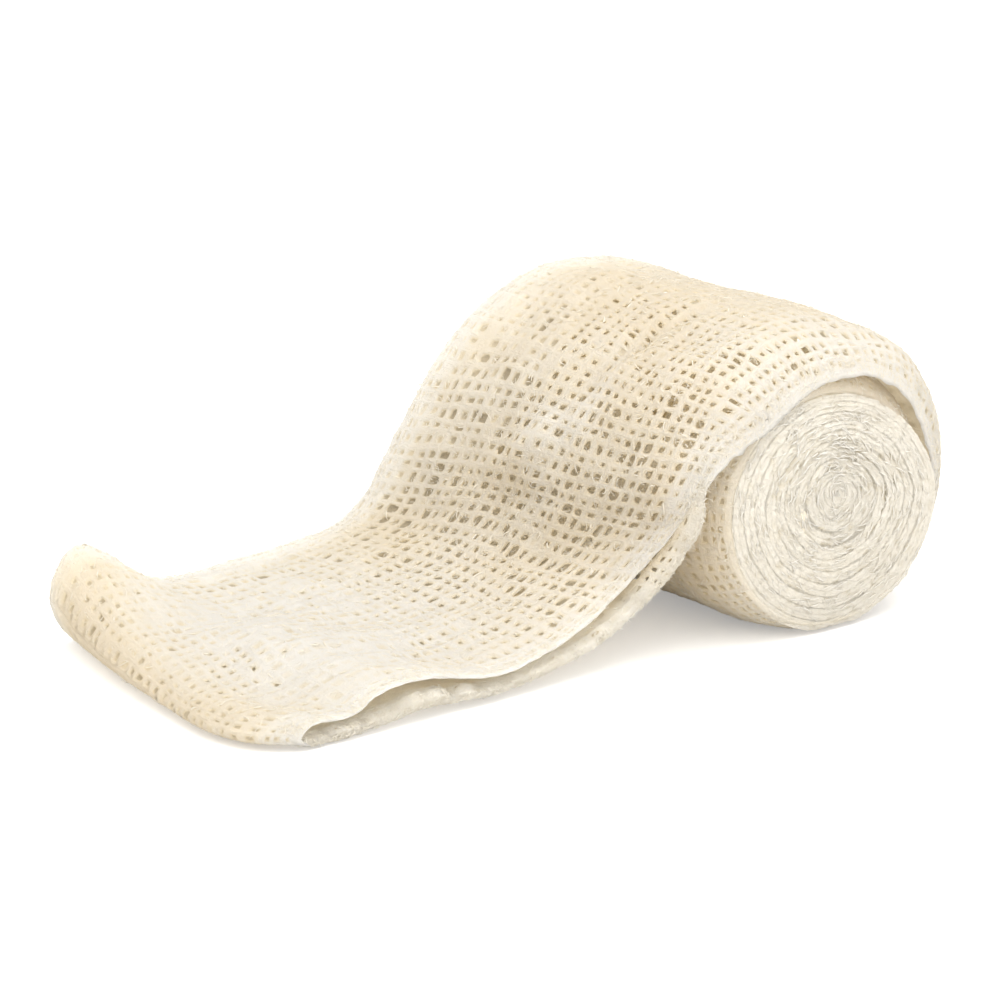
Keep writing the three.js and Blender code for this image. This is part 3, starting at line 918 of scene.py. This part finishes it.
def loops_on_end(name, end, seed, count, finish):
    """Small turns of yarn that stand on the plies' selvedges at an end."""
    own = np.random.default_rng(seed)
    ply_at = own.uniform(0, 2 * TURNS - 1.0, count)
    keep = own.uniform(size=count) < spiral_share(ply_at)
    ply_at = (np.round(ply_at[keep]) + 0.5 + own.normal(size=keep.sum()) * 0.16)[:, None]
    turn = own.uniform(0, 1, len(ply_at))[:, None]
    share = np.clip(spiral_share(ply_at + 2 * turn), 0.02, 1.03)
    angle = -end * 2 * math.pi * turn + math.radians(SPIRAL_FROM)
    reach = np.linspace(-1, 1, 5)
    half = own.uniform(0.35, 1.0, (len(ply_at), 1))
    swing = half / np.maximum(MEAN_RADIUS * share, 1.2)
    lean = own.normal(size=(len(ply_at), 1)) * 0.3
    bulge = own.uniform(0.0, 0.2, (len(ply_at), 1)) * (1 - reach**2) + 0.06
    path = turn_edge_at(end, angle + swing * reach, share + 0 * reach, lean * reach, bulge)
    outward = np.zeros_like(path)
    outward[..., 1] = end
    size = own.uniform(0.04, 0.10, (len(ply_at), 1)) * (1 - 0.7 * reach**2)
    tone = own.uniform(0.3, 1, len(ply_at))
    start = own.uniform(0, 300, len(ply_at))
    return strands(name, path, outward, size, 4, finish, tone, start)


# ---- stray fibres -------------------------------------------------------------------------------


def stray_fibres(name, row_from, row_to, count, edge_share, seed, side, finish):
    """Short fibres that lie loose on the cloth and across its holes, on its outer side, or on its
    inner side where side is -1."""
    own = np.random.default_rng(seed)
    length = own.uniform(length_at(row_from) + 1, length_at(row_to) - 1, count)
    across = own.uniform(0.0, 1.0, count)
    edge = own.uniform(size=count) < edge_share
    which = np.where(own.uniform(size=count) < 0.7, 0.0, 1.0)  # more of them at the near edge
    across = np.where(edge, np.abs(which - np.abs(own.normal(size=count)) * 0.02), across)
    place, out = laid(length, across)
    out = out * side
    way = unit(laid(length + 0.5, across)[0] - place)
    beside = np.cross(out, way)
    angle = own.uniform(0, 2 * math.pi, count)
    start = way * np.cos(angle)[:, None] + beside * np.sin(angle)[:, None]
    bend = own.normal(size=count)[:, None] * 1.4
    size = np.where(edge, 0.5, 1.0)[:, None] * own.uniform(0.5, 1.7, count)[:, None]
    reach = np.linspace(0, 1, 4)
    lift = np.where(edge, 0.3, 1.0)[:, None] * own.uniform(-0.1, 0.25, count)[:, None]
    turn = bend * reach
    curve = np.where(np.abs(bend) < 0.05, 0.05, bend)
    along_part, side_part = size * np.sin(turn) / curve, size * (1 - np.cos(turn)) / curve
    across_start = np.cross(out, start)
    base = np.where(edge, 0.25, 0.18)[:, None]
    path = (
        place[:, None, :] + out[:, None, :] * (base + lift * np.sin(math.pi * reach * 0.8))[..., None]
        + start[:, None, :] * along_part[..., None] + across_start[:, None, :] * side_part[..., None]
    )
    thick = np.where(own.uniform(size=count) < 0.12, 1.9, 1.0)[:, None]  # a few are thicker
    thick = thick * own.uniform(0.03, 0.06, count)[:, None] * (1 - 0.6 * reach**2)
    return strands(name, path, np.repeat(out[:, None, :], 4, 1), thick, 3, finish)


# ---- finishes -----------------------------------------------------------------------------------


class Value:
    """A socket that is written like a number: what is worked out from it becomes Math nodes."""

    def __init__(self, finish, socket):
        self.finish = finish
        self.socket = socket

    def _math(self, operation, first, second):
        return self.finish.node("Math", {"operation": operation}, {0: first, 1: second})[0]

    def __add__(self, other):
        return self._math("ADD", self, other)

    def __sub__(self, other):
        return self._math("SUBTRACT", self, other)

    def __mul__(self, other):
        return self._math("MULTIPLY", self, other)

    __rmul__ = __mul__


class Outputs:
    """A node's outputs by name or number, as values."""

    def __init__(self, finish, node):
        self.finish = finish
        self.outputs = node.outputs

    def __getitem__(self, key):
        return Value(self.finish, self.outputs[key])


class Finish:
    """A material, or a world, that is built up node by node."""

    def __init__(self, name, kind=bpy.data.materials):
        self.made = kind.new(name)
        self.made.use_nodes = True
        self.tree = self.made.node_tree
        self.tree.nodes.clear()

    def node(self, kind, settings=None, inputs=None):
        made = self.tree.nodes.new("ShaderNode" + kind)
        for key, value in (settings or {}).items():
            setattr(made, key, value)
        for key, value in (inputs or {}).items():
            if isinstance(value, Value):
                self.tree.links.new(value.socket, made.inputs[key])
            else:
                made.inputs[key].default_value = value
        return Outputs(self, made)

    def attribute(self, name):
        return self.node("Attribute", {"attribute_name": name})["Fac"]

    def yarn_map(self):
        """Length along the yarns, and the place across or round them."""
        spot = self.node("UVMap", {"uv_map": "yarn"})["UV"]
        parts = self.node("SeparateXYZ", None, {0: spot})
        return parts[0], parts[1]

    def object_place(self):
        return self.node("TexCoord")["Object"]

    def vector(self, x, y, z):
        return self.node("CombineXYZ", None, {0: x, 1: y, 2: z})[0]

    def noise(self, place, scale, detail, rough, twist=0.0):
        return self.node(
            "TexNoise", None,
            {"Vector": place, "Scale": scale, "Detail": detail, "Roughness": rough, "Distortion": twist},
        )[0]

    def share(self, value, low, high, most=1.0):
        """From 0 where value is low to most where it is high."""
        return self.node("MapRange", None, {0: value, 1: low, 2: high, 3: 0.0, 4: most})[0]

    def blend(self, mask, first, second):
        """A colour between two, by a mask from 0 to 1."""
        return self.node("Mix", {"data_type": "RGBA"}, {0: mask, 6: first, 7: second})[2]

    def bump(self, height, strength, distance):
        return self.node(
            "Bump", None, {"Strength": strength, "Distance": distance, "Height": height}
        )["Normal"]

    def matt(self, colour, bump, roughness, shine):
        return self.node(
            "BsdfPrincipled", None,
            {"Base Color": colour, "Roughness": roughness, "Normal": bump, "Specular IOR Level": shine},
        )["BSDF"]

    def mix(self, share, first, second):
        """Two shaders mixed."""
        return self.node("MixShader", None, {0: share, 1: first, 2: second})[0]

    def done(self, shader, output="OutputMaterial"):
        self.node(output, None, {"Surface": shader})
        return self.made

    def soft_cotton(self, colour, bump, through_share):
        """Cotton that scatters light back and lets a share of it through."""
        through_it = self.node("BsdfTranslucent", None, {"Color": colour, "Normal": bump})[0]
        return self.done(self.mix(through_share, self.matt(colour, bump, 0.93, 0.15), through_it))


def strip_finish():
    """The strip: soft cotton whose fibres run along its yarns both ways, whiter at the selvedges,
    in patches of a warmer cream, and with no shine. Its colour also holds painted light: painted
    highlights where light falls full, and painted shade, tanner and duller, in hollows, folds, gaps
    and down in the weave."""
    finish = Finish("crepe cotton")
    tone, lie, deep = (finish.attribute(name) for name in ("tone", "lie", "deep"))
    along, across = finish.yarn_map()
    place = finish.object_place()

    def fibres(long_way, cross_way, offset):
        """Streaks of fibre, long one way and fine the other."""
        return finish.noise(finish.vector(long_way * 0.55, cross_way * 5.5, offset), 1.0, 3.0, 0.62, 0.4)

    lengthwise, crosswise = fibres(along, across, 3.0), fibres(across, along, 9.0)
    fibre = crosswise + (lengthwise - crosswise) * lie
    patch = finish.noise(place, 85.0, 3.0, 0.55)
    fluff = finish.noise(place, 2600.0, 3.0, 0.65)
    lumps = finish.noise(place, 1100.0, 2.0, 0.6)
    # Patches of warmer cream at random. They are warmer still where painted shade lowers the tone, and less
    # warm under painted highlights.
    warm = finish.share(patch + 0.5 * fibre - 0.6 * tone, 0.5, 1.1)
    colour = finish.blend(warm, (0.985, 0.967, 0.925, 1), (0.955, 0.90, 0.79, 1))
    for value, low, high, most, shade in (
        (tone, 0.1, 0.9, 0.85, (0.985, 0.975, 0.95, 1)),  # selvedges, and the weaker painted highlights
        (tone, 0.5, 1.2, 0.9, (0.99, 0.988, 0.98, 1)),  # the whitest: painted highlights where light falls full, and the selvedges' very edges
        (tone, -0.2, -1.2, 0.8, (0.86, 0.80, 0.70, 1)),  # painted shade: the dullest, in folds, hollows and gaps
        (deep + 0.7 * fibre - 0.35, 0.05, 1.0, 0.85, (0.91, 0.835, 0.67, 1)),  # painted shade down in the weave, between the yarns, with random fibre streaks
        (deep, 1.0, 1.9, 0.9, (0.58, 0.52, 0.41, 1)),  # painted shade at the bottom of a pit
    ):
        colour = finish.blend(finish.share(value, low, high, most), colour, shade)
    bump = finish.bump(fibre * 1.5 + fluff * 1.1 + lumps * 0.9, 0.8, 0.00026)
    return finish.soft_cotton(colour, bump, 0.64)


def strand_finish(name, pale, deep, twist_depth, through_share):
    """Spun cotton strands: twisted fibres along each."""
    finish = Finish(name)
    tone = finish.attribute("tone")
    along, around = finish.yarn_map()
    place = finish.object_place()
    fibre = finish.noise(finish.vector(along * 0.9 + around * 1.2, around * 7, tone * 40), 1.6, 3.0, 0.6)
    patch = finish.noise(place, 95.0, 3.0, 0.55)
    fluff = finish.noise(place, 3000.0, 2.0, 0.6)
    warm = finish.share(patch + 0.35 * fibre + 0.1 * tone, 0.5, 1.0)
    bump = finish.bump(fibre * 1.2 + fluff * 0.8, 0.6, twist_depth)
    return finish.soft_cotton(finish.blend(warm, pale, deep), bump, through_share)


def end_finish():
    """The selvedges side by side at an end: cream white, with painted shade making it greyer and tanner in
    the furrows and pits, mixed with random patches.
    """
    finish = Finish("end turns cotton")
    # The painted shade of the furrows and pits, from the end faces.
    deep = finish.attribute("tone")
    along, across = finish.yarn_map()
    place = finish.object_place()
    streak = finish.noise(finish.vector(along * 0.9, across * 3.5, 2.0), 1.0, 2.0, 0.6)
    fluff = finish.noise(place, 1700.0, 4.0, 0.7)
    patch = finish.noise(place, 420.0, 3.0, 0.6)
    down = finish.share(deep + 0.5 * streak + 0.9 * patch - 0.65, 0.0, 1.0)
    colour = finish.blend(down, (0.915, 0.88, 0.80, 1), (0.80, 0.74, 0.61, 1))
    return finish.soft_cotton(colour, finish.bump(streak * 0.7 + fluff * 1.2, 0.9, 0.0003), 0.3)


def inner_finish():
    """What shows of the inner turns through the weave: the same cotton, close and in shade, its colour
    painted tanner and darker than the strip's as painted shade.
    """
    finish = Finish("inner turns cotton")
    grain = finish.noise(finish.object_place(), 700.0, 3.0, 0.6)
    spread = finish.share(grain, 0.35, 0.65)
    colour = finish.blend(spread, (0.85, 0.78, 0.63, 1), (0.91, 0.85, 0.73, 1))
    return finish.done(finish.matt(colour, finish.bump(grain, 0.8, 0.0005), 0.95, 0.1))


yarn_cotton = strip_finish()
edge_cotton = strand_finish("selvedge cotton", (0.95, 0.93, 0.88, 1), (0.93, 0.89, 0.81, 1), 0.00018, 0.2)
fibre_cotton = strand_finish("fibre cotton", (0.98, 0.96, 0.91, 1), (0.97, 0.93, 0.84, 1), 0.00005, 0.5)
end_cotton = end_finish()
inner_cotton = inner_finish()


# ---- the bandage --------------------------------------------------------------------------------

tight_turn = woven("tight_turn", 0, OFF_TIGHT, 81, yarn_cotton)
upper_ply = woven("upper_ply", OFF_TIGHT, FOLD_TIP, 83, yarn_cotton)
lower_ply = woven("lower_ply", FOLD_TIP, LAST_ROW, 84, yarn_cotton)
wound_turns = wound_body(inner_cotton)
ends = [
    end_face("near_turn_edges", -1, 61, 300, end_cotton),
    end_face("far_turn_edges", 1, 62, 240, end_cotton),
    loops_on_end("near_loops", -1, 63, 1500, edge_cotton),
    loops_on_end("far_loops", 1, 64, 900, edge_cotton),
]
fuzz = [
    stray_fibres(*given, fibre_cotton)
    for given in (
        # name, first and last row, count, share of them at the edges, seed, side
        ("stray_fibres", OFF_TIGHT, FOLD_TIP, 8000, 0.12, 71, 1),
        ("under_fibres", FOLD_TIP, LAST_ROW, 1500, 0.2, 72, 1),
        ("roll_fibres", 0, OFF_TIGHT, 3600, 0.2, 73, 1),
        ("rim_fibres", OFF_TIGHT, FOLD_TIP, 3200, 1.0, 74, 1),
        ("slit_fibres", FOLD_TIP, LAST_ROW, 2600, 1.0, 75, -1),
    )
]

for slot, pieces in (
    ("cloth", [tight_turn, upper_ply, lower_ply]), ("roll", [wound_turns] + ends), ("cloth", fuzz),
):
    for piece in pieces:
        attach(piece, "root")

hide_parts("wound_roll")
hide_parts("loose_end")


# ---- floor, light and camera --------------------------------------------------------------------


def floor_finish():
    """A plain white floor: seen straight on it is lit a little by itself, and keeps the shadow."""
    finish = Finish("pale floor")
    plain = finish.node("BsdfDiffuse", None, {"Color": (0.8, 0.8, 0.8, 1)})["BSDF"]
    glow = finish.node("Emission", None, {"Color": (1, 1, 1, 1), "Strength": 0.32})[0]
    both = finish.node("AddShader", None, {0: plain, 1: glow})[0]
    return finish.done(finish.mix(finish.node("LightPath")["Is Camera Ray"], plain, both))


def pale_floor():
    half, under = 3.0, 0.00002  # metres
    corners = [[-half, -half, -under], [half, -half, -under], [half, half, -under], [-half, half, -under]]
    floor = mesh_piece("floor", np.array(corners), np.array([[0, 1, 2, 3]]), floor_finish())


def white_room():
    """A world that lights the part a little warm and shows plain white."""
    room = Finish("white room", bpy.data.worlds)
    lit, seen = (
        room.node("Background", None, {"Color": colour, "Strength": 1.0})[0]
        for colour in ((1, 0.98, 0.95, 1), (1, 1, 1, 1))
    )
    shown = room.mix(room.node("LightPath")["Is Camera Ray"], lit, seen)
    bpy.context.scene.world = room.done(shown, "OutputWorld")


def placed(name, data, aim, azimuth, elevation, distance):
    """A lamp or camera that looks at aim from a distance; angles are in degrees."""
    a, e = math.radians(azimuth), math.radians(elevation)
    back = Vector((math.sin(a) * math.cos(e), -math.cos(a) * math.cos(e), math.sin(e)))
    holder = bpy.data.objects.new(name, data)
    holder.location = Vector(aim) + back * distance
    holder.rotation_euler = back.to_track_quat("Z", "Y").to_euler()
    bpy.context.scene.collection.objects.link(holder)
    return holder


def soft_lamp(name, azimuth, elevation, distance, size, power, colour):
    lamp = bpy.data.lights.new(name, "AREA")
    lamp.size = size
    lamp.energy = power
    lamp.color = colour
    placed(name, lamp, (-0.03, 0, 0.015), azimuth, elevation, distance)


def camera():
    eye = bpy.data.cameras.new("camera")
    eye.lens = 162
    eye.sensor_width = 36
    eye.clip_end = 20
    bpy.context.scene.camera = placed("camera", eye, (-0.03169, 0, 0.01703), -37.5, 17.5, 0.5589)


pale_floor()
white_room()
soft_lamp("key", -75, 48, 0.9, 0.6, 1.9, (1, 0.95, 0.87))
soft_lamp("top", 20, 80, 1.0, 0.9, 8.2, (1, 1, 1))
soft_lamp("front", -10, 26, 1.2, 0.9, 4.1, (1, 0.98, 0.93))
camera()
bpy.context.scene.view_settings.view_transform = "Standard"
